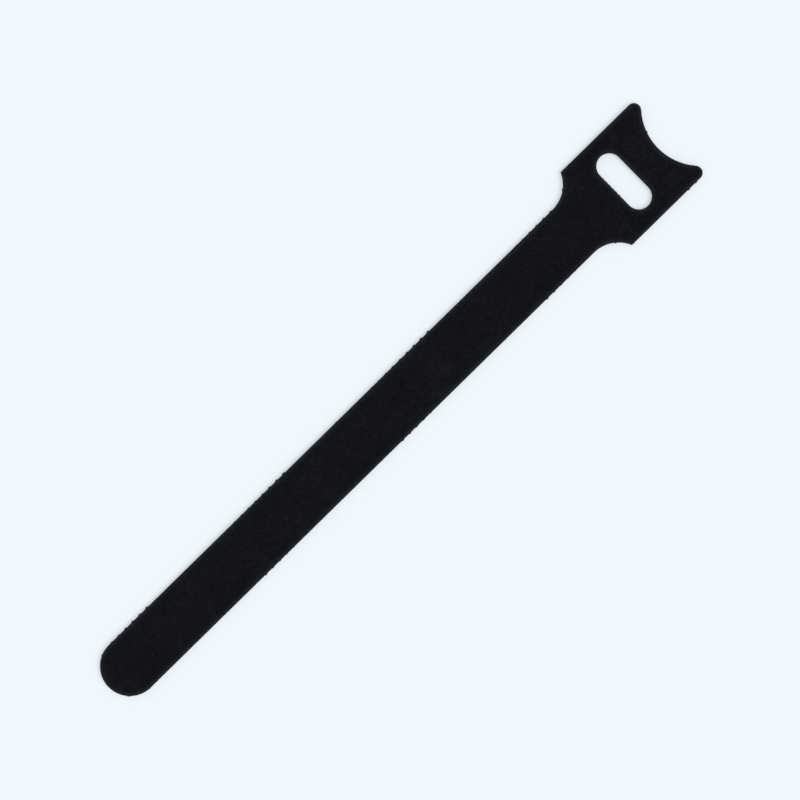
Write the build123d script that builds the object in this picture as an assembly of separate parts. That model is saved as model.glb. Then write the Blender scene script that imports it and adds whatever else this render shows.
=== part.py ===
"""Hook and loop cable tie: one flat strap, die-cut from two webs bonded back to back.

The strap lies flat. X runs along it from the round tail to the slotted head, Y across it, and Z up.
The origin is at the middle of its length and width, on its lower face. All sizes are in millimetres.
"""

from build123d import *

import os
from math import acos, atan2, degrees, sin, sqrt

# Lengths along the strap
LENGTH = 152.4  # from the end of the tail to the tips of the head
NECK_FROM_TIPS = 26.2  # from the tips back to where the strap starts to widen
SLOT_FROM_TIPS = 12.4  # from the tips back to the middle of the slot

# Widths across the strap
STRAP_WIDTH = 11.6
HEAD_WIDTH = 19.8
SLOT_LENGTH = 13.2  # across the strap, so that the tail passes through flat
SLOT_WIDTH = 5.1  # along the strap

# Radii of the outline. The tail is a full half circle, and so is each end of the slot.
NECK_RADIUS = 6.8  # hollow arc that widens the strap into the head
SHOULDER_RADIUS = 0.25  # the head's nearly sharp corner at the end of that arc
TIP_RADIUS = 1.4
END_RADIUS = 11.5  # hollow arc between the two tips

# Thicknesses of the two webs
HOOK_TAPE_THICKNESS = 0.8  # moulded film with its hooks, which point down
LOOP_FABRIC_THICKNESS = 0.8  # knitted ground with its loop pile, which points up


def upper_edge():
    """The edge on the +Y side, from the end of the tail to the middle of the hollow end."""
    strap_side = STRAP_WIDTH / 2
    head_side = HEAD_WIDTH / 2
    tail_x = strap_side - LENGTH / 2
    neck_x = LENGTH / 2 - NECK_FROM_TIPS

    # The neck's arc starts tangent to the strap and stops where it meets the side of the head.
    neck_y = strap_side + NECK_RADIUS
    neck_turn = acos((neck_y - head_side) / NECK_RADIUS)
    shoulder = (neck_x + NECK_RADIUS * sin(neck_turn), head_side)

    # The tip's arc and the hollow end's arc touch on the line between their centres.
    tip_x = LENGTH / 2 - TIP_RADIUS
    tip_y = head_side - TIP_RADIUS
    end_x = tip_x + sqrt((END_RADIUS + TIP_RADIUS) ** 2 - tip_y**2)
    slope = atan2(tip_y, end_x - tip_x)

    edge = CenterArc((tail_x, 0), strap_side, 90, 90)
    edge += Line((tail_x, strap_side), (neck_x, strap_side))
    edge += CenterArc((neck_x, neck_y), NECK_RADIUS, -90, degrees(neck_turn))
    edge += Line(shoulder, (tip_x, head_side))
    edge += CenterArc((tip_x, tip_y), TIP_RADIUS, 90, -90 - degrees(slope))
    edge += CenterArc((end_x, 0), END_RADIUS, 180 - degrees(slope), degrees(slope))
    return edge, shoulder


def outline():
    """The die's cut, seen from above: the strap's outer edge and the slot in its head."""
    edge, shoulder = upper_edge()
    face = make_face(edge + mirror(edge, about=Plane.XZ))
    corners = [v for v in face.vertices() if abs(v.X - shoulder[0]) < 0.01]
    face = fillet(corners, SHOULDER_RADIUS)
    slot = Pos(LENGTH / 2 - SLOT_FROM_TIPS, 0) * SlotOverall(SLOT_LENGTH, SLOT_WIDTH, rotation=90)
    return face - slot


def web(bottom, thickness):
    """One web of the strap: the outline from the height bottom up."""
    return extrude(Pos(0, 0, bottom) * outline(), thickness)


os.makedirs("parts", exist_ok=True)

webs = {
    "hook_tape": web(0, HOOK_TAPE_THICKNESS),
    "loop_fabric": web(HOOK_TAPE_THICKNESS, LOOP_FABRIC_THICKNESS),
}
for name, solid in webs.items():
    export_step(solid, f"parts/{name}.step")
    print(f"{name}: {solid.volume:.1f} mm3")
print(f"flat area: {outline().area:.1f} mm2")
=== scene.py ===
# %% [markdown]
# # A hook and loop cable tie
#
# The tie is one flat strap of two webs bonded back to back. The upper web is a knit with a soft pile
# of loops. The lower web is a moulded film with rows of small hooks. A die cuts both in one stroke.
# The CAD model gives the strap's box and the height at which the webs meet. Everything finer than
# that, down to single hooks and loops, is made here.

# %% Load the frame
from math import acos, atan2, cos, pi, radians, sin, sqrt

import bpy
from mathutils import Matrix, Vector
from mathutils.geometry import delaunay_2d_cdt


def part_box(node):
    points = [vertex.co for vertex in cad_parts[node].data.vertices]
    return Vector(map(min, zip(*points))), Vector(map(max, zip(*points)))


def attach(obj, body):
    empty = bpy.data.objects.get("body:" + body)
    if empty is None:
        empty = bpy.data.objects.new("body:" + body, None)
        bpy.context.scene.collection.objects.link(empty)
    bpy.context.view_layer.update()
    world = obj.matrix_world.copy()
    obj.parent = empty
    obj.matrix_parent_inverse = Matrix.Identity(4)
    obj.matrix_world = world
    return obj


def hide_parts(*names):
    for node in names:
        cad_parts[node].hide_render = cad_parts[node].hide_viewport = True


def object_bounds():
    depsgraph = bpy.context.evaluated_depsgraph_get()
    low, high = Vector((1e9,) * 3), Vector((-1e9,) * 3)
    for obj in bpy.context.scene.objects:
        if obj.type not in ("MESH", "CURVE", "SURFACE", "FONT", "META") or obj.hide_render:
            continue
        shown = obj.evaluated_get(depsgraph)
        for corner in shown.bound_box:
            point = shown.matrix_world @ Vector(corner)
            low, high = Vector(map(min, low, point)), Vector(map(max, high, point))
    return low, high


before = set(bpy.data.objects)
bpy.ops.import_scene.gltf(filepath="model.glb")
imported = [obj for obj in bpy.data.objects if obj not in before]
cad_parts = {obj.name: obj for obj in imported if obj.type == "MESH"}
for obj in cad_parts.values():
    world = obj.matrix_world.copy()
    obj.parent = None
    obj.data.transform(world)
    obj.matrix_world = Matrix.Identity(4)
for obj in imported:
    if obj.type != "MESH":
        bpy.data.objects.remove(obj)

MM = 0.001
cad_low, cad_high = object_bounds()
hooks_low, hooks_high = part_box("hook_tape")
loops_low, loops_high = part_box("loop_fabric")
strap_length = cad_high.x - cad_low.x
head_width = cad_high.y - cad_low.y
tips_x = cad_high.x
print(f"strap {strap_length / MM:.1f} x {head_width / MM:.1f} mm, webs meet at {hooks_high.z / MM:.2f} mm")

# %% [markdown]
# ## The camera
#
# A tie is best read flat on, so the camera looks straight down. The strap runs from the lower left to
# the upper right corner. A long lens keeps the outline free of perspective.

# %% Place the camera
STRAP_SLOPE = radians(44.45)  # the strap's rise across the picture
VIEW_WIDTH = 155.1 * MM  # what the picture takes in at the height where the webs meet
VIEW_CENTRE = Vector((3.10 * MM, 0.17 * MM, hooks_high.z))
LENS = 100.0
SENSOR = 36.0

camera_data = bpy.data.cameras.new("camera")
camera_data.lens = LENS
camera_data.sensor_width = SENSOR
camera = bpy.data.objects.new("camera", camera_data)
camera.location = VIEW_CENTRE + Vector((0, 0, VIEW_WIDTH * LENS / SENSOR))
camera.rotation_euler = (0, 0, -STRAP_SLOPE)
bpy.context.scene.collection.objects.link(camera)
bpy.context.scene.camera = camera
print(f"camera {camera.location.z:.3f} m above the strap")

# %% [markdown]
# ## Node trees
#
# The light, the finishes, the hooks and the loops are all made by node trees. One helper adds a node
# with its settings and inputs and gives back the socket that the next node reads, so a tree reads from
# top to bottom like any other code.

# %% Helpers for node trees
def add(tree, kind, inputs=(), give=None, **settings):
    """Adds a node and gives back its output named give, or else its first.

    inputs maps a socket's name or number to a plain value or to another node's socket.
    """
    made = tree.nodes.new(kind)
    for name, value in settings.items():
        setattr(made, name, value)
    for key, value in dict(inputs).items():
        named = [s for s in made.inputs if s.enabled and s.name == key]
        socket = named[0] if named else made.inputs[key]
        if isinstance(value, bpy.types.NodeSocket):
            tree.links.new(value, socket)
        else:
            socket.default_value = value
    return next(s for s in made.outputs if s.enabled and s.name == (give or s.name))


def maths(tree, operation, *values):
    """A Math node on plain numbers or sockets."""
    return add(tree, "ShaderNodeMath", enumerate(values), operation=operation)


def seen(tree):
    """1 where a ray from the camera, a mirror or glass arrives, and 0 for light on its way to a surface."""
    kinds = ("Camera", "Glossy", "Transmission")
    sight = [add(tree, "ShaderNodeLightPath", give=f"Is {kind} Ray") for kind in kinds]
    return maths(tree, "MAXIMUM", maths(tree, "MAXIMUM", sight[0], sight[1]), sight[2])


# %% [markdown]
# ## The light
#
# One broad sun and an even world add up to a plain level, at which a colour renders as it is written.
# The sun is wide and high, so a thin strap on a floor has only a soft edge of shadow. What is seen past
# the strap is a pale tone of its own, which lights nothing.

# %% Light the strap
SUN_SHARE = 0.40  # of the whole light, on a level face
SUN_TILT = radians(28)
SUN_WIDTH = radians(45)
SUN_HEADING = radians(20)
BACKGROUND = (0.889, 0.939, 0.982)

sun_data = bpy.data.lights.new("sun", "SUN")
sun_data.energy = SUN_SHARE * pi / cos(SUN_TILT)
sun_data.angle = SUN_WIDTH
sun = bpy.data.objects.new("sun", sun_data)
sun.rotation_euler = (SUN_TILT, 0, SUN_HEADING)
bpy.context.scene.collection.objects.link(sun)

world = bpy.data.worlds.new("world")
bpy.context.scene.world = world
world.use_nodes = True
sky = world.node_tree
even_light = [1 - SUN_SHARE] * 3
tones = {"Factor": seen(sky), "A": (*even_light, 1), "B": (*BACKGROUND, 1)}
sky.links.new(add(sky, "ShaderNodeMix", tones, data_type="RGBA"), sky.nodes["Background"].inputs["Color"])
bpy.context.scene.view_settings.view_transform = "Standard"

# %% [markdown]
# ## The cut outline
#
# The die's cut is straight lines and arcs, so it is worked out as such: half of it, from the tail to
# the hollow end, and then the same again mirrored. Moving the cut in by a little shrinks the round
# corners and opens the hollow ones, while every arc keeps its centre.

# %% Work out the outline
STRAP_WIDTH = 11.6 * MM
NECK_FROM_TIPS = 26.2 * MM
NECK_RADIUS = 6.8 * MM
TIP_RADIUS = 1.4 * MM
END_RADIUS = 11.5 * MM
SLOT_FROM_TIPS = 12.4 * MM
SLOT_LENGTH = 13.2 * MM
SLOT_WIDTH = 5.1 * MM


def arc(centre, radius, start, turn, steps):
    """Points from the angle start through the angle turn, without the last one."""
    angles = [start + turn * i / steps for i in range(steps)]
    return [(centre[0] + radius * cos(a), centre[1] + radius * sin(a)) for a in angles]


def run(start, end, steps):
    """Points along a straight stretch, without the last one."""
    return [tuple(a + (b - a) * i / steps for a, b in zip(start, end)) for i in range(steps)]


def outer_cut(inset=0.0):
    """The strap's edge as points, anticlockwise and moved in by inset. Every inset gives as many."""
    side = STRAP_WIDTH / 2
    head = head_width / 2
    tail = (cad_low.x + side, 0)
    neck = (tips_x - NECK_FROM_TIPS, side + NECK_RADIUS)
    tip = (tips_x - TIP_RADIUS, head - TIP_RADIUS)
    end = (tip[0] + sqrt((END_RADIUS + TIP_RADIUS) ** 2 - tip[1] ** 2), 0)
    turn = acos((neck[1] - head + inset) / (NECK_RADIUS + inset))
    slope = atan2(tip[1], end[0] - tip[0])
    shoulder = (neck[0] + (NECK_RADIUS + inset) * sin(turn), head - inset)
    half = arc(tail, side - inset, pi, -pi / 2, steps=30)
    half += run((tail[0], side - inset), (neck[0], side - inset), steps=240)
    half += arc(neck, NECK_RADIUS + inset, -pi / 2, turn, steps=28)
    half += run(shoulder, (tip[0], head - inset), steps=36)
    half += arc(tip, TIP_RADIUS - inset, pi / 2, -pi / 2 - slope, steps=14)
    half += arc(end, END_RADIUS + inset, pi - slope, slope, steps=26)
    half.append((end[0] - END_RADIUS - inset, 0))
    other_half = [(x, -y) for x, y in half[-2:0:-1]]
    return (half + other_half)[::-1]


def slot_cut(inset=0.0):
    """The slot's edge as points, anticlockwise and moved out from the slot by inset."""
    middle = tips_x - SLOT_FROM_TIPS
    radius = SLOT_WIDTH / 2 + inset
    reach = (SLOT_LENGTH - SLOT_WIDTH) / 2
    loop = run((middle + radius, -reach), (middle + radius, reach), steps=16)
    loop += arc((middle, reach), radius, 0, pi, steps=30)
    loop += run((middle - radius, reach), (middle - radius, -reach), steps=16)
    return loop + arc((middle, -reach), radius, pi, pi, steps=30)


print(f"outline {len(outer_cut())} points, slot {len(slot_cut())} points")

# %% [markdown]
# ## Plates
#
# The film and the knit's ground are both thin plates with that outline. A plate is its upper face, the
# same face turned over below, and a wall round each loop of the cut. The faces are filled by Delaunay's
# rule, which makes no triangle of three points in line, so each triangle has a clear upper side.

# %% Build a plate
ONLY_INSIDE = 1  # no triangles past the loops, where the outline is hollow


def face_of(strap, slot):
    """Triangles that fill the strap's loop but not the slot's, as indexes into the points of both."""
    points = [Vector(point) for point in strap + slot]
    shapes = [list(range(len(strap))), list(range(len(strap), len(points)))]
    _, _, faces, sources, _, owners = delaunay_2d_cdt(points, [], shapes, ONLY_INSIDE, 0)
    return [tuple(sources[i][0] for i in face) for face, owner in zip(faces, owners) if owner == [0]]


def as_object(name, points, faces, smooth_below=radians(40)):
    """A mesh object at the origin, smooth where its faces meet at less than the angle given."""
    mesh = bpy.data.meshes.new(name)
    mesh.from_pydata(points, [], faces)
    mesh.validate()
    mesh.shade_smooth()
    mesh.set_sharp_from_angle(angle=smooth_below)
    made = bpy.data.objects.new(name, mesh)
    bpy.context.scene.collection.objects.link(made)
    return made


def plate(name, levels):
    """A closed plate through levels, each a height and an inset, from the lowest to the highest."""
    rings = [(outer_cut(inset), slot_cut(inset)) for _, inset in levels]
    sizes = [len(loop) for loop in rings[0]]
    layer = sum(sizes)
    points = [(x, y, z) for ring, (z, _) in zip(rings, levels) for loop in ring for x, y in loop]
    faces = []
    for level in range(len(levels) - 1):
        first = level * layer
        for size, outward in zip(sizes, (True, False)):
            for i in range(size):
                j = (i + 1) % size
                wall = (first + i, first + j, first + layer + j, first + layer + i)
                faces.append(wall if outward else wall[::-1])
            first += size
    top = layer * (len(levels) - 1)
    faces += [corners[::-1] for corners in face_of(*rings[0])]
    faces += [tuple(top + i for i in corners) for corners in face_of(*rings[-1])]
    return as_object(name, points, faces)


# %% [markdown]
# ## The moulded film
#
# The hook tape starts as a film of nylon, rolled against a mould while it is soft. It is a quarter of
# a millimetre thick and has clean cut edges, a little rounded where the die pressed.

# %% Make the film
FILM_THICKNESS = 0.25 * MM
CUT_ROUND = 0.04 * MM

film_low = hooks_high.z - FILM_THICKNESS
film = plate(
    "hook_film",
    [(film_low, CUT_ROUND), (film_low + CUT_ROUND, 0), (hooks_high.z - 0.001 * MM, 0)],
)
print(f"film {len(film.data.polygons)} faces, {FILM_THICKNESS / MM:.2f} mm thick")

# %% [markdown]
# ## The knitted ground
#
# The loops grow from a thin warp knit. It is softer than the film, so the die rolls its upper edge down
# in a small curve. An attribute holds a painted sheen that fades over a millimetre in from the cut, and
# the finishes read it: the cut edge gets a paler, bluer colour as a painted highlight.

# %% Make the ground
GROUND_THICKNESS = 0.30 * MM
ROLL_WIDTH = 0.50 * MM  # how far in from the cut the edge is rolled
ROLL_DROP = 0.14 * MM
EDGE_SHEEN_WIDTH = 1.20 * MM  # how far in from the cut the painted edge sheen reaches

ground_high = loops_low.z + GROUND_THICKNESS


def fading(inset, width):
    """1 at the cut, falling to 0 at a width in from it, ever more gently."""
    return max(0.0, 1 - inset / width) ** 2


insets = [share * EDGE_SHEEN_WIDTH for share in (0.0, 0.03, 0.09, 0.17, 0.27, 0.42, 0.60, 0.78, 1.0)]
levels = [(loops_low.z, 0.02 * MM)]
levels += [(ground_high - ROLL_DROP * fading(inset, ROLL_WIDTH), inset) for inset in insets]
ground = plate("loop_ground", levels)
# The attribute below holds a painted edge sheen, 1 at the cut and fading inward, for the finishes.
pulled = ground.data.attributes.new("pulled", "FLOAT", "POINT")
ring_size = len(ground.data.vertices) // len(levels)
pulled.data.foreach_set("value", [fading(inset, EDGE_SHEEN_WIDTH) for _, inset in levels for _ in range(ring_size)])
print(f"ground {len(ground.data.polygons)} faces, {GROUND_THICKNESS / MM:.2f} mm thick")

# %% [markdown]
# ## Patterns for the finishes
#
# Each effect is a group with its own inputs, so that any finish can use it with other values. Mottle is
# the uneven tone that any dyed or moulded black has close up. Stitches is the knit. Fibres is a mat of
# filaments too fine to model. Lines are the marks that a mould of stacked discs leaves along a film.

# %% Helpers for groups
def vector(tree, x=0.0, y=0.0, z=0.0):
    return add(tree, "ShaderNodeCombineXYZ", {"X": x, "Y": y, "Z": z})


def spread(tree, value, low, high, to_low=0.0, to_high=1.0):
    """A Map Range node from low..high to to_low..to_high, held at both ends."""
    given = {"Value": value, "From Min": low, "From Max": high, "To Min": to_low, "To Max": to_high}
    return add(tree, "ShaderNodeMapRange", given)


def new_group(kind, name, inputs, outputs):
    """A node tree with named inputs and outputs, and its input and output nodes' sockets."""
    tree = bpy.data.node_groups.new(name, kind)
    for in_out, sockets in (("INPUT", inputs), ("OUTPUT", outputs)):
        for label, socket_type in sockets.items():
            tree.interface.new_socket(label, in_out=in_out, socket_type=f"NodeSocket{socket_type}")
    return tree, tree.nodes.new("NodeGroupInput").outputs, tree.nodes.new("NodeGroupOutput").inputs


# %% Build the pattern groups
def mottle_group():
    """Soft patches of a given size, as a mask from 0 to 1."""
    tree, given, out = new_group(
        "ShaderNodeTree", "mottle",
        {"Vector": "Vector", "Patches per mm": "Float", "Detail": "Float"}, {"Mask": "Float"},
    )
    noise = add(
        tree, "ShaderNodeTexNoise",
        {
            "Vector": given["Vector"],
            "Scale": maths(tree, "MULTIPLY", given["Patches per mm"], 1 / MM),
            "Detail": given["Detail"],
        },
    )
    tree.links.new(spread(tree, noise, 0.3, 0.7), out["Mask"])
    return tree


def stitches_group():
    """Columns of slanted stitches along X, as a height from 0 to 1."""
    tree, given, out = new_group(
        "ShaderNodeTree", "stitches",
        {"Vector": "Vector", "Wales per mm": "Float", "Courses per mm": "Float"}, {"Height": "Float"},
    )
    place = tree.nodes.new("ShaderNodeSeparateXYZ")
    tree.links.new(given["Vector"], place.inputs[0])
    wales = maths(tree, "MULTIPLY", given["Wales per mm"], 1 / MM)
    courses = maths(tree, "MULTIPLY", given["Courses per mm"], 1 / MM)
    wale = maths(tree, "MULTIPLY", place.outputs["Y"], wales)
    course = maths(tree, "MULTIPLY", place.outputs["X"], courses)
    slant = maths(tree, "MULTIPLY", maths(tree, "PINGPONG", wale, 0.5), 1.4)
    ridge = maths(tree, "COSINE", maths(tree, "MULTIPLY", wale, 4 * pi))
    yarn = maths(tree, "COSINE", maths(tree, "MULTIPLY", maths(tree, "ADD", course, slant), 2 * pi))
    height = maths(tree, "MULTIPLY_ADD", yarn, 0.3, maths(tree, "MULTIPLY_ADD", ridge, -0.2, 0.5))
    tree.links.new(height, out["Height"])
    return tree


def fibres_group():
    """A mat of fine wavy fibres that cross in several directions, as a height from 0 to 1."""
    tree, given, out = new_group(
        "ShaderNodeTree", "fibres", {"Vector": "Vector", "Fibres per mm": "Float"}, {"Height": "Float"}
    )
    across = maths(tree, "MULTIPLY", given["Fibres per mm"], 1 / MM)
    along = maths(tree, "MULTIPLY", across, 0.12)
    slow = {"Vector": given["Vector"], "Scale": along, "Detail": 1.0}
    swing = add(tree, "ShaderNodeTexNoise", slow, give="Color")
    swing = add(tree, "ShaderNodeVectorMath", {0: swing, "Scale": 0.8 * MM}, operation="SCALE")
    swung = add(tree, "ShaderNodeVectorMath", {0: given["Vector"], 1: swing}, operation="ADD")
    height = 0.0
    for layer in range(FIBRE_LAYERS):
        angle = pi * (layer + 0.3) / FIBRE_LAYERS
        turning = {"Vector": swung, "Angle": angle}
        turned = add(tree, "ShaderNodeVectorRotate", turning, rotation_type="Z_AXIS")
        drawn = {0: turned, 1: vector(tree, along, across), 2: (0, 0, layer * 7.3)}
        drawn = add(tree, "ShaderNodeVectorMath", drawn, operation="MULTIPLY_ADD")
        streak = add(tree, "ShaderNodeTexNoise", {"Vector": drawn, "Scale": 1.0, "Detail": 0.0})
        height = maths(tree, "MAXIMUM", height, spread(tree, streak, 0.48, 0.72))
    tree.links.new(height, out["Height"])
    return tree


def lines_group():
    """Fine ridges along X, turned a little, as a height from 0 to 1."""
    tree, given, out = new_group(
        "ShaderNodeTree", "lines",
        {"Vector": "Vector", "Turn": "Float", "Lines per mm": "Float"}, {"Height": "Float"},
    )
    turning = {"Vector": given["Vector"], "Angle": given["Turn"]}
    turned = add(tree, "ShaderNodeVectorRotate", turning, rotation_type="Z_AXIS")
    place = tree.nodes.new("ShaderNodeSeparateXYZ")
    tree.links.new(turned, place.inputs[0])
    turns = maths(tree, "MULTIPLY", given["Lines per mm"], 2 * pi / MM)
    across = maths(tree, "MULTIPLY", place.outputs["Y"], turns)
    tree.links.new(maths(tree, "MULTIPLY_ADD", maths(tree, "COSINE", across), 0.5, 0.5), out["Height"])
    return tree


FIBRE_LAYERS = 5
MOTTLE = mottle_group()
STITCHES = stitches_group()
FIBRES = fibres_group()
LINES = lines_group()


# %% Helpers for finishes
def finish(name):
    """A new material, its tree, its shader's inputs and the piece's own coordinates."""
    made = bpy.data.materials.new(name)
    made.use_nodes = True
    tree = made.node_tree
    return made, tree, tree.nodes["Principled BSDF"].inputs, add(tree, "ShaderNodeTexCoord", give="Object")


def pattern(tree, group, **inputs):
    """One of the pattern groups, placed in a material with its own values."""
    made = tree.nodes.new("ShaderNodeGroup")
    made.node_tree = group
    for label, value in inputs.items():
        socket = made.inputs[label.replace("_", " ")]
        if isinstance(value, bpy.types.NodeSocket):
            tree.links.new(value, socket)
        else:
            socket.default_value = value
    return made.outputs[0]


def between(tree, mask, low, high):
    """A colour between two, by a mask. Either may be plain or come from another node."""
    ends = [(*colour, 1) if isinstance(colour, tuple) else colour for colour in (low, high)]
    return add(tree, "ShaderNodeMix", {"Factor": mask, "A": ends[0], "B": ends[1]}, data_type="RGBA")


def stored(tree, name):
    """A number that the piece's mesh holds at each point."""
    return add(tree, "ShaderNodeAttribute", give="Fac", attribute_name=name)


def bump(tree, height, depth, strength=1.0):
    """A bumped normal, from a height between 0 and 1 that stands for depth in metres."""
    return add(tree, "ShaderNodeBump", {"Height": height, "Distance": depth, "Strength": strength})


# %% [markdown]
# ## The pile's finish
#
# The loops are black brushed nylon. Each filament is nearly black with a dull shine, and some took the dye
# better than others. The colour is also painted darker deep down, as painted shade for the light that has
# to find its way between the loops. Along the cut, where the pile is pressed, a paler, bluer sheen is
# painted.

# %% Finish the pile
# The dark end below is both the worst-dyed curls and the painted shade deep in the pile.
PILE_DEEP_DYE_AND_SHADE = (0.0012, 0.0012, 0.0021)
PILE_HIGH = (0.0190, 0.0193, 0.0300)
# Painted highlight: a paler, bluer colour for the sheen along the cut.
PILE_EDGE_SHEEN = (0.0320, 0.0395, 0.0510)


def pile_finish():
    made, tree, shader, place = finish("brushed_nylon_pile")
    height = tree.nodes.new("ShaderNodeSeparateXYZ")
    tree.links.new(place, height.inputs[0])
    # Painted shade: the colour darkens from the top of the pile down to the ground.
    height_for_painted_shade = spread(tree, height.outputs["Z"], ground_high, loops_high.z)
    patches = pattern(tree, MOTTLE, Vector=place, Patches_per_mm=0.9, Detail=3.0)
    drifts = pattern(tree, MOTTLE, Vector=place, Patches_per_mm=0.12, Detail=2.0)
    dyed = maths(tree, "MULTIPLY_ADD", maths(tree, "POWER", stored(tree, "tone"), 2), 0.8, 0.05)
    dyed = maths(tree, "MULTIPLY_ADD", patches, 0.2, dyed)
    dyed = maths(tree, "MULTIPLY", dyed, spread(tree, drifts, 0.0, 1.0, 0.5, 1.1))
    inner = between(tree, maths(tree, "MULTIPLY", height_for_painted_shade, dyed), PILE_DEEP_DYE_AND_SHADE, PILE_HIGH)
    grain = pattern(tree, MOTTLE, Vector=place, Patches_per_mm=2.2, Detail=2.0)
    # Painted sheen along the cut, broken up by a grain.
    pulled = maths(tree, "MULTIPLY", stored(tree, "pulled"), spread(tree, grain, 0.0, 1.0, 0.3, 1.2))
    tree.links.new(between(tree, pulled, inner, PILE_EDGE_SHEEN), shader["Base Color"])
    tree.links.new(spread(tree, patches, 0.0, 1.0, 0.62, 0.48), shader["Roughness"])
    shader["Specular IOR Level"].default_value = 0.15
    shader["Sheen Weight"].default_value = 0.03
    shader["Sheen Roughness"].default_value = 0.5
    return made


# %% Finish the knitted ground
# The dark end below is both the darker random tone and the painted shade in the knit's hollows and between
# fibres.
GROUND_DARK_TONE_AND_HOLLOW_SHADE = (0.0008, 0.0008, 0.0015)
GROUND_LIGHT = (0.0075, 0.0075, 0.0118)
# Painted highlight: a paler, bluer colour for the sheen along the cut.
GROUND_EDGE_SHEEN = (0.0240, 0.0300, 0.0395)


def ground_finish():
    made, tree, shader, place = finish("knitted_ground")
    knit = pattern(tree, STITCHES, Vector=place, Wales_per_mm=1.1, Courses_per_mm=1.8)
    fibres = pattern(tree, FIBRES, Vector=place, Fibres_per_mm=9.0)
    drifts = pattern(tree, MOTTLE, Vector=place, Patches_per_mm=0.12, Detail=2.0)
    height = maths(tree, "MULTIPLY_ADD", fibres, 0.75, maths(tree, "MULTIPLY", knit, 0.25))
    # Painted shade: the colour darkens in the knit's hollows and between the fibres, by their height, and
    # drifts at random.
    tone = maths(tree, "MULTIPLY", height, spread(tree, drifts, 0.0, 1.0, 0.5, 1.1))
    inner = between(tree, tone, GROUND_DARK_TONE_AND_HOLLOW_SHADE, GROUND_LIGHT)
    grain = pattern(tree, MOTTLE, Vector=place, Patches_per_mm=2.2, Detail=2.0)
    # Painted sheen along the cut, broken up by a grain.
    pulled = maths(tree, "MULTIPLY", stored(tree, "pulled"), spread(tree, grain, 0.0, 1.0, 0.3, 1.2))
    tree.links.new(between(tree, pulled, inner, GROUND_EDGE_SHEEN), shader["Base Color"])
    tree.links.new(spread(tree, fibres, 0.0, 1.0, 0.9, 0.6), shader["Roughness"])
    tree.links.new(bump(tree, height, 0.06 * MM), shader["Normal"])
    shader["Specular IOR Level"].default_value = 0.08
    return made


# %% Finish the film and the hooks
FILM_DARK = (0.0060, 0.0060, 0.0068)
FILM_LIGHT = (0.0110, 0.0110, 0.0122)
WEB_TURN = radians(0.68)  # how far the hook web lay turned under the die
COLUMN_STEP = 0.452 * MM  # from one column of hooks to the next


def film_finish():
    made, tree, shader, place = finish("moulded_film")
    lines = pattern(tree, LINES, Vector=place, Turn=-WEB_TURN, Lines_per_mm=MM / COLUMN_STEP)
    grain = pattern(tree, MOTTLE, Vector=place, Patches_per_mm=5.0, Detail=3.0)
    height = maths(tree, "MULTIPLY_ADD", lines, 0.7, maths(tree, "MULTIPLY", grain, 0.3))
    tree.links.new(between(tree, grain, FILM_DARK, FILM_LIGHT), shader["Base Color"])
    tree.links.new(spread(tree, grain, 0.0, 1.0, 0.34, 0.48), shader["Roughness"])
    tree.links.new(bump(tree, height, 0.02 * MM), shader["Normal"])
    shader["Specular IOR Level"].default_value = 0.35
    return made


def hook_finish():
    made, tree, shader, place = finish("moulded_hooks")
    grain = pattern(tree, MOTTLE, Vector=place, Patches_per_mm=2.5, Detail=2.0)
    tree.links.new(between(tree, grain, FILM_DARK, FILM_LIGHT), shader["Base Color"])
    tree.links.new(spread(tree, grain, 0.0, 1.0, 0.30, 0.42), shader["Roughness"])
    shader["Specular IOR Level"].default_value = 0.35
    return made


PILE, GROUND, FILM, HOOKS = pile_finish(), ground_finish(), film_finish(), hook_finish()
film.data.materials.append(FILM)
ground.data.materials.append(GROUND)

# %% [markdown]
# ## Growing things on a face
#
# A tree stands its hooks or loops on a flat face with the strap's outline. The result is made a plain
# mesh, because the exported model holds no modifiers or instances.

# %% Run a tree
def cut_face(height, inset=0.0):
    """The cut outline as one flat mesh at a height."""
    loops = outer_cut(inset), slot_cut(inset)
    points = [(x, y, height) for loop in loops for x, y in loop]
    mesh = bpy.data.meshes.new("cut_face")
    mesh.from_pydata(points, [], face_of(*loops))
    return mesh


def grown(name, base, tree, values):
    """What the tree makes of the mesh base, as an object with a plain mesh."""
    holder = bpy.data.objects.new(name, base)
    bpy.context.scene.collection.objects.link(holder)
    modifier = holder.modifiers.new("grow", "NODES")
    modifier.node_group = tree
    sockets = {s.name: s.identifier for s in tree.interface.items_tree if s.in_out == "INPUT"}
    for label, value in values.items():
        modifier[sockets[label]] = value
    evaluated = holder.evaluated_get(bpy.context.evaluated_depsgraph_get())
    mesh = bpy.data.meshes.new_from_object(evaluated)
    holder.modifiers.clear()
    holder.data = mesh
    mesh.name = name
    mesh.calc_loop_triangles()
    print(f"{name}: {len(mesh.loop_triangles)} triangles")
    return holder


# %% [markdown]
# ## One hook
#
# A moulded hook is thick and long where it grows from the film, leans back a little, and bends over
# into a blunt point. It is a row of rings along that bend. Each ring has six corners, which smooth
# shading makes round.

# %% Make one hook
# Each ring's place along the strap and down from the film, and half its length and half its width.
HOOK_RINGS = [
    (-0.05, -0.03, 0.400, 0.220),
    (-0.05, 0.07, 0.320, 0.215),
    (-0.04, 0.19, 0.195, 0.190),
    (-0.01, 0.31, 0.120, 0.155),
    (0.06, 0.42, 0.100, 0.140),
    (0.17, 0.455, 0.080, 0.125),
    (0.27, 0.400, 0.058, 0.110),
    (0.305, 0.310, 0.035, 0.090),
]
RING_CORNERS = 6


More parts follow.
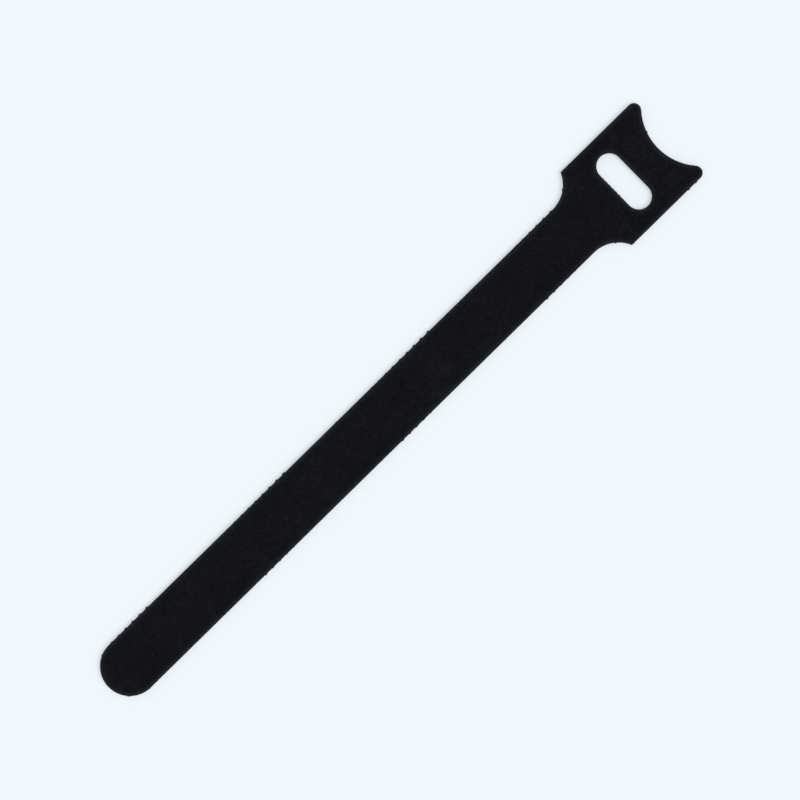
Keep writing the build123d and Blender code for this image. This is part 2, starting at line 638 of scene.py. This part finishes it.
def hook():
    """One hook below the origin, its point towards +X."""
    middles = [Vector((x, 0, -down)) for x, down, _, _ in HOOK_RINGS]
    points = []
    for i, (_, _, length, width) in enumerate(HOOK_RINGS):
        before, after = middles[max(i - 1, 0)], middles[min(i + 1, len(middles) - 1)]
        along = (after - before).normalized() if i else Vector((0, 0, -1))
        across = along.cross(Vector((0, 1, 0)))
        for corner in range(RING_CORNERS):
            angle = 2 * pi * corner / RING_CORNERS
            side = Vector((0, width * sin(angle) / sin(pi / 3), 0))
            points.append((middles[i] + across * length * cos(angle) + side) * MM)
    faces = []
    for first in range(0, len(points) - RING_CORNERS, RING_CORNERS):
        for i in range(RING_CORNERS):
            a, b = first + i, first + (i + 1) % RING_CORNERS
            faces.append((b, a, a + RING_CORNERS, b + RING_CORNERS))
    ends = list(range(RING_CORNERS))
    faces += [ends, [len(points) - RING_CORNERS + i for i in ends[::-1]]]
    return as_object("one_hook", points, faces, smooth_below=radians(80))


one_hook = hook()

# %% [markdown]
# ## Rows of hooks
#
# The mould's discs set the hooks in columns along the strap. Each column faces the other way from its
# neighbours and is half a step along, so that the tie grips from both sides. The web went under the
# die turned by less than a degree, so the columns run off a long edge one after another, and the last
# hooks of each stand a little past the cut. The die leaned too, and left less of them on the other edge.

# %% The tree for the hooks
# Places under a hook that have to lie on the film, or the die took it.
HOOK_FOOT = [(0, 0), (0.15 * MM, 0), (-0.15 * MM, 0), (0, -0.07 * MM)]


def over_face(tree, geometry, x=0.0, y=0.0):
    """Whether a point, moved along and across the strap, lies over or under the face."""
    lifted = {0: add(tree, "GeometryNodeInputPosition"), 1: (x, y, 5 * MM)}
    start = add(tree, "ShaderNodeVectorMath", lifted, operation="ADD")
    ray = {"Target Geometry": geometry, "Source Position": start, "Ray Direction": (0, 0, -1)}
    return add(tree, "GeometryNodeRaycast", ray, give="Is Hit")


def hook_tree():
    """Sets a hook on each point of a turned lattice that lies on the film."""
    inputs = {
        "Geometry": "Geometry", "Hook": "Object", "Hook step": "Float", "Column step": "Float",
        "Web turn": "Float", "Start": "Vector", "Seed": "Int", "Material": "Material",
    }
    tree, given, out = new_group("GeometryNodeTree", "hook_rows", inputs, {"Geometry": "Geometry"})
    hooks = 2 * int(strap_length / HOOK_STEP / 2) + 5
    columns = 2 * int(head_width / COLUMN_STEP) + 1
    lattice = add(
        tree, "GeometryNodeMeshGrid",
        {
            "Size X": maths(tree, "MULTIPLY", given["Hook step"], hooks - 1),
            "Size Y": maths(tree, "MULTIPLY", given["Column step"], columns - 1),
            "Vertices X": hooks,
            "Vertices Y": columns,
        },
    )
    column = maths(tree, "MODULO", add(tree, "GeometryNodeInputIndex"), columns)
    odd = maths(tree, "MODULO", maths(tree, "ADD", column, columns // 2), 2)
    backwards = maths(tree, "SUBTRACT", 1, odd)
    half_step = maths(tree, "MULTIPLY", maths(tree, "MULTIPLY", odd, 0.5), given["Hook step"])
    staggered = add(
        tree, "GeometryNodeSetPosition", {"Geometry": lattice, "Offset": vector(tree, x=half_step)}
    )
    marked = add(
        tree, "GeometryNodeStoreNamedAttribute",
        {"Geometry": staggered, "Name": "backwards", "Value": backwards}, data_type="FLOAT", domain="POINT",
    )
    turned = add(
        tree, "GeometryNodeTransform",
        {"Geometry": marked, "Rotation": vector(tree, z=given["Web turn"]), "Translation": given["Start"]},
    )
    standing = turned
    for x, y in HOOK_FOOT:
        on_film = over_face(tree, given["Geometry"], x, y)
        missing = add(tree, "FunctionNodeBooleanMath", {0: on_film}, operation="NOT")
        doomed = {"Geometry": standing, "Selection": missing}
        standing = add(tree, "GeometryNodeDeleteGeometry", doomed, domain="POINT")
    facing = add(tree, "GeometryNodeInputNamedAttribute", {"Name": "backwards"}, data_type="FLOAT")
    heading = vector(tree, z=maths(tree, "MULTIPLY_ADD", facing, pi, given["Web turn"]))
    lean = {"Min": (-0.05, -0.05, -0.04), "Max": (0.05, 0.05, 0.04), "Seed": given["Seed"]}
    leaning = add(tree, "FunctionNodeRandomValue", lean, data_type="FLOAT_VECTOR")
    rotation = add(tree, "ShaderNodeVectorMath", {0: heading, 1: leaning}, operation="ADD")
    model = add(
        tree, "GeometryNodeObjectInfo", {"Object": given["Hook"], "As Instance": True}, give="Geometry"
    )
    placed = add(
        tree, "GeometryNodeInstanceOnPoints", {"Points": standing, "Instance": model, "Rotation": rotation}
    )
    real = add(tree, "GeometryNodeRealizeInstances", {"Geometry": placed})
    plain = add(tree, "GeometryNodeRemoveAttribute", {"Geometry": real, "Name": "backwards"})
    done = add(tree, "GeometryNodeSetMaterial", {"Geometry": plain, "Material": given["Material"]})
    tree.links.new(done, out["Geometry"])
    return tree


# %% Grow the hooks
HOOK_STEP = 1.91 * MM  # from one hook to the next along a column
HOOK_START = (0.84 * MM, STRAP_WIDTH / 2 - 0.19 * MM)  # one hook, close to the edge half way along

hooks = grown(
    "hook_rows",
    cut_face(film_low),
    hook_tree(),
    {
        "Hook": one_hook, "Hook step": HOOK_STEP, "Column step": COLUMN_STEP, "Web turn": WEB_TURN,
        "Start": (*HOOK_START, film_low), "Seed": 5, "Material": HOOKS,
    },
)
bpy.data.objects.remove(one_hook)
print(f"lowest hook {min(v.co.z for v in hooks.data.vertices) / MM:.3f} mm")

# %% [markdown]
# ## The loop pile
#
# A wire brush pulls the knit's loose floats into a mat of fine curls that lie in every direction. Each
# is a curve that leaves the ground, wanders, and comes down again. It gets a thickness of three sides,
# which is enough for something thinner than a hair. The brush misses some floats, so here and there a
# cluster of small pits is left open. Where the die cut the mat, curls end at the edge, apart from a few
# short ends that stand just past it, and the pile is pressed lower there.

# %% The tree for the pile
CURL_POINTS = 8
CURL_SIDES = 3


def scattered(tree, given, seed, low, high):
    """A random number for each root, from a seed of its own."""
    numbers = {"Min": low, "Max": high, "Seed": maths(tree, "ADD", given["Seed"], seed)}
    return add(tree, "FunctionNodeRandomValue", numbers, data_type="FLOAT")


def kept_as(tree, geometry, name, value):
    """The geometry with a value stored on each of its points."""
    stored = {"Geometry": geometry, "Name": name, "Value": value}
    return add(tree, "GeometryNodeStoreNamedAttribute", stored, data_type="FLOAT", domain="POINT")


def read(tree, name):
    return add(tree, "GeometryNodeInputNamedAttribute", {"Name": name}, data_type="FLOAT")


def pile_tree():
    """Grows curls from a face, from one place along the strap to another."""
    inputs = {
        "Geometry": "Geometry", "From": "Float", "To": "Float", "Density": "Float", "Spacing": "Float",
        "Reach": "Float", "Height": "Float", "Thickness": "Float", "Wander": "Float", "Turns per mm": "Float",
        "Pits per mm": "Float", "Clusters per mm": "Float", "Roll width": "Float", "Roll drop": "Float",
        "Edge sheen width": "Float", "Loose ends": "Float", "Seed": "Int", "Material": "Material",
    }
    tree, given, out = new_group("GeometryNodeTree", "loop_pile", inputs, {"Geometry": "Geometry"})
    face = given["Geometry"]

    # The cut edge is where an edge of the face has a face on one side only.
    sides = add(tree, "GeometryNodeInputMeshEdgeNeighbors")
    alone = add(tree, "ShaderNodeMath", {0: sides, 1: 1.5}, operation="LESS_THAN")
    edge = add(tree, "GeometryNodeSeparateGeometry", {"Geometry": face, "Selection": alone}, domain="EDGE")
    place = add(tree, "GeometryNodeInputPosition")
    flat = add(tree, "ShaderNodeVectorMath", {0: place, 1: (1, 1, 0)}, operation="MULTIPLY")
    level = add(tree, "ShaderNodeVectorMath", {0: flat, 1: (0, 0, ground_high)}, operation="ADD")
    to_edge = add(
        tree, "GeometryNodeProximity", {"Geometry": edge, "Sample Position": level},
        give="Distance", target_element="EDGES",
    )

    rolled = spread(tree, to_edge, 0.0, given["Roll width"], 1.0, 0.0)
    # A painted sheen, strongest at the cut, which the pile's finish reads.
    pulled = maths(tree, "POWER", spread(tree, to_edge, 0.0, given["Edge sheen width"], 1.0, 0.0), 2)

    # Pits lie at the middles of cells, in those places where a slower noise is high.
    cells = {"Vector": place, "Scale": maths(tree, "MULTIPLY", given["Pits per mm"], 1 / MM)}
    to_middle = add(tree, "ShaderNodeTexVoronoi", cells, give="Distance", voronoi_dimensions="2D")
    clusters_scale = maths(tree, "MULTIPLY", given["Clusters per mm"], 1 / MM)
    slow = {"Vector": place, "Scale": clusters_scale, "Detail": 1.0}
    clusters = spread(tree, add(tree, "ShaderNodeTexNoise", slow, noise_dimensions="2D"), 0.47, 0.55)
    pit = maths(tree, "MULTIPLY", spread(tree, to_middle, 0.28, 0.42, 1.0, 0.0), clusters)

    # Roots, without those in a pit, too near the cut or outside this stretch.
    roots = add(
        tree, "GeometryNodeDistributePointsOnFaces",
        {
            "Mesh": face, "Distance Min": given["Spacing"],
            "Density Max": given["Density"], "Seed": given["Seed"],
        },
        distribute_method="POISSON",
    )
    along = add(tree, "ShaderNodeSeparateXYZ", {0: place}, give="X")
    outside = maths(
        tree, "ADD",
        maths(tree, "LESS_THAN", along, given["From"]), maths(tree, "GREATER_THAN", along, given["To"]),
    )
    near = maths(tree, "LESS_THAN", to_edge, given["Thickness"])
    unwanted = maths(tree, "ADD", maths(tree, "ADD", outside, near), maths(tree, "GREATER_THAN", pit, 0.5))
    doomed = {"Geometry": roots, "Selection": unwanted}
    roots = add(tree, "GeometryNodeDeleteGeometry", doomed, domain="POINT")

    # Each root's own numbers ride along as attributes.
    roots = kept_as(tree, roots, "lift", maths(tree, "POWER", scattered(tree, given, 1, 0.4, 1.0), 2))
    roots = kept_as(tree, roots, "own", scattered(tree, given, 2, 0.0, 500.0))
    roots = kept_as(tree, roots, "loose", scattered(tree, given, 3, 0.0, 1.0))
    roots = kept_as(tree, roots, "tone", scattered(tree, given, 6, 0.0, 1.0))
    heading = vector(tree, z=scattered(tree, given, 4, 0.0, 2 * pi))
    reach = maths(tree, "MULTIPLY", given["Reach"], scattered(tree, given, 5, 0.55, 1.35))
    line = add(tree, "GeometryNodeCurvePrimitiveLine", {"Start": (0, 0, 0), "End": (1, 0, 0)})
    line = add(tree, "GeometryNodeResampleCurve", {"Curve": line, "Count": CURL_POINTS})
    placed = add(
        tree, "GeometryNodeInstanceOnPoints",
        {"Points": roots, "Instance": line, "Rotation": heading, "Scale": reach},
    )
    curls = add(tree, "GeometryNodeRealizeInstances", {"Geometry": placed})

    # The curls wander sideways by a noise of their own, and rise and fall between the ground and the top.
    factor = add(tree, "GeometryNodeSplineParameter", give="Factor")
    wandering = add(
        tree, "ShaderNodeTexNoise",
        {
            "Vector": place, "W": read(tree, "own"), "Detail": 1.0,
            "Scale": maths(tree, "MULTIPLY", given["Turns per mm"], 1 / MM),
        },
        give="Color", noise_dimensions="4D",
    )
    centred = add(tree, "ShaderNodeVectorMath", {0: wandering, 1: (0.5, 0.5, 0.5)}, operation="SUBTRACT")
    amount = maths(tree, "MULTIPLY", given["Wander"], spread(tree, factor, 0.0, 0.35))
    aside = add(tree, "ShaderNodeVectorMath", {0: centred, "Scale": amount}, operation="SCALE")
    moved = add(tree, "ShaderNodeVectorMath", {0: place, 1: aside}, operation="ADD")
    moved = add(tree, "ShaderNodeVectorMath", {0: moved, 1: (1, 1, 0)}, operation="MULTIPLY")
    curls = add(tree, "GeometryNodeSetPosition", {"Geometry": curls, "Position": moved})
    arch = maths(tree, "SINE", maths(tree, "MULTIPLY", maths(tree, "POWER", factor, 0.8), pi))
    sunk = maths(tree, "SUBTRACT", 1, maths(tree, "MULTIPLY", maths(tree, "MAXIMUM", pit, rolled), 0.6))
    rise = maths(tree, "MULTIPLY", maths(tree, "MULTIPLY", arch, read(tree, "lift")), sunk)
    rise = maths(tree, "MULTIPLY", rise, maths(tree, "SUBTRACT", given["Height"], given["Thickness"]))
    drop = maths(tree, "MULTIPLY", maths(tree, "POWER", rolled, 2), given["Roll drop"])
    foot = maths(tree, "SUBTRACT", maths(tree, "MULTIPLY_ADD", given["Thickness"], 0.3, ground_high), drop)
    lifted = maths(tree, "ADD", rise, foot)
    curls = add(tree, "GeometryNodeSetPosition", {"Geometry": curls, "Offset": vector(tree, z=lifted)})
    # The painted edge sheen is stored on the curls for the finish.
    curls = kept_as(tree, curls, "pulled", pulled)

    # Points past the cut go, apart from short loose ends.
    past = add(tree, "FunctionNodeBooleanMath", {0: over_face(tree, face)}, operation="NOT")
    loose_reach = maths(tree, "MULTIPLY", given["Loose ends"], read(tree, "loose"))
    far = maths(tree, "GREATER_THAN", to_edge, loose_reach)
    curls = add(
        tree, "GeometryNodeDeleteGeometry",
        {"Geometry": curls, "Selection": maths(tree, "MULTIPLY", past, far)}, domain="POINT",
    )
    left = add(tree, "GeometryNodeSplineLength", give="Point Count")
    curls = add(
        tree, "GeometryNodeDeleteGeometry",
        {"Geometry": curls, "Selection": maths(tree, "LESS_THAN", left, 2.5)}, domain="CURVE",
    )

    ring = add(tree, "GeometryNodeCurvePrimitiveCircle", {"Resolution": CURL_SIDES, "Radius": 1.0})
    taper = spread(tree, factor, 0.0, 1.0, 0.5, 0.38)
    tubes = add(
        tree, "GeometryNodeCurveToMesh",
        {
            "Curve": curls, "Profile Curve": ring, "Fill Caps": True,
            "Scale": maths(tree, "MULTIPLY", given["Thickness"], taper),
        },
    )
    for name in ("lift", "own", "loose"):
        tubes = add(tree, "GeometryNodeRemoveAttribute", {"Geometry": tubes, "Name": name})
    smooth = add(tree, "GeometryNodeSetShadeSmooth", {"Geometry": tubes})
    done = add(tree, "GeometryNodeSetMaterial", {"Geometry": smooth, "Material": given["Material"]})
    tree.links.new(done, out["Geometry"])
    return tree


# %% Grow the pile
# The mat is grown in five stretches of about the same area, which keeps each mesh a handy size.
STRETCHES = {
    "tail": (-77 * MM, -44 * MM),
    "lower_strap": (-44 * MM, -12 * MM),
    "middle_strap": (-12 * MM, 20 * MM),
    "upper_strap": (20 * MM, 50 * MM),
    "head": (50 * MM, 77 * MM),
}
pile_rule = pile_tree()
pile = []
for number, (stretch, (start, end)) in enumerate(STRETCHES.items()):
    settings = {
        "From": start, "To": end, "Density": 15 / MM**2, "Spacing": 0.15 * MM, "Reach": 1.05 * MM,
        "Height": loops_high.z - ground_high, "Thickness": 0.052 * MM, "Wander": 1.3 * MM,
        "Turns per mm": 1.1, "Pits per mm": 1.05, "Clusters per mm": 0.28, "Roll width": ROLL_WIDTH,
        "Roll drop": ROLL_DROP, "Edge sheen width": EDGE_SHEEN_WIDTH, "Loose ends": 0.10 * MM, "Seed": 11,
        "Material": PILE,
    }
    pile.append(grown(f"loop_pile_{stretch}", cut_face(ground_high), pile_rule, settings))
print(f"pile {sum(len(p.data.loop_triangles) for p in pile)} triangles")
print(f"highest curl {max(v.co.z for p in pile for v in p.data.vertices) / MM:.3f} mm")

# %% [markdown]
# ## The floor
#
# The strap lies on a plain pale floor, in the tone that the world shows past it. Half of what is seen of
# the floor is that tone itself, so the strap's shadow stays but is faint.

# %% Lay the floor
FLOOR_REACH = 12.0
FLOOR_TONE_SHARE = 0.5

floor_mesh = bpy.data.meshes.new("floor")
corners = [(-1, -1), (1, -1), (1, 1), (-1, 1)]
floor_points = [(x * FLOOR_REACH, y * FLOOR_REACH, cad_low.z) for x, y in corners]
floor_mesh.from_pydata(floor_points, [], [(0, 1, 2, 3)])
floor = bpy.data.objects.new("floor", floor_mesh)
bpy.context.scene.collection.objects.link(floor)
paint, paint_tree, paint_shader, _ = finish("pale_floor")
paint_shader["Base Color"].default_value = (*BACKGROUND, 1)
paint_shader["Roughness"].default_value = 1.0
paint_shader["Specular IOR Level"].default_value = 0.0
tone = add(paint_tree, "ShaderNodeEmission", {"Color": (*BACKGROUND, 1), "Strength": 1.0})
share = maths(paint_tree, "MULTIPLY", seen(paint_tree), FLOOR_TONE_SHARE)
painted = paint_tree.nodes["Principled BSDF"].outputs["BSDF"]
mixed = add(paint_tree, "ShaderNodeMixShader", {0: share, 1: painted, 2: tone})
paint_tree.links.new(mixed, paint_tree.nodes["Material Output"].inputs["Surface"])
floor_mesh.materials.append(paint)

# %% [markdown]
# ## Hand the pieces to the frame
#
# The hooks and the film stand for the hook tape, and the ground and its pile for the loop fabric. The
# ground was cut flat, and lies bonded on the film.

webs = {"hook_tape": [film, hooks], "loop_fabric": [ground, *pile]}
for web, pieces in webs.items():
    for piece in pieces:
        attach(piece, "root")
        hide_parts(web)

cut_area = sum(face.area for face in cut_face(ground_high).polygons)
print(f"cloth {cut_area / MM**2:.0f} mm2")
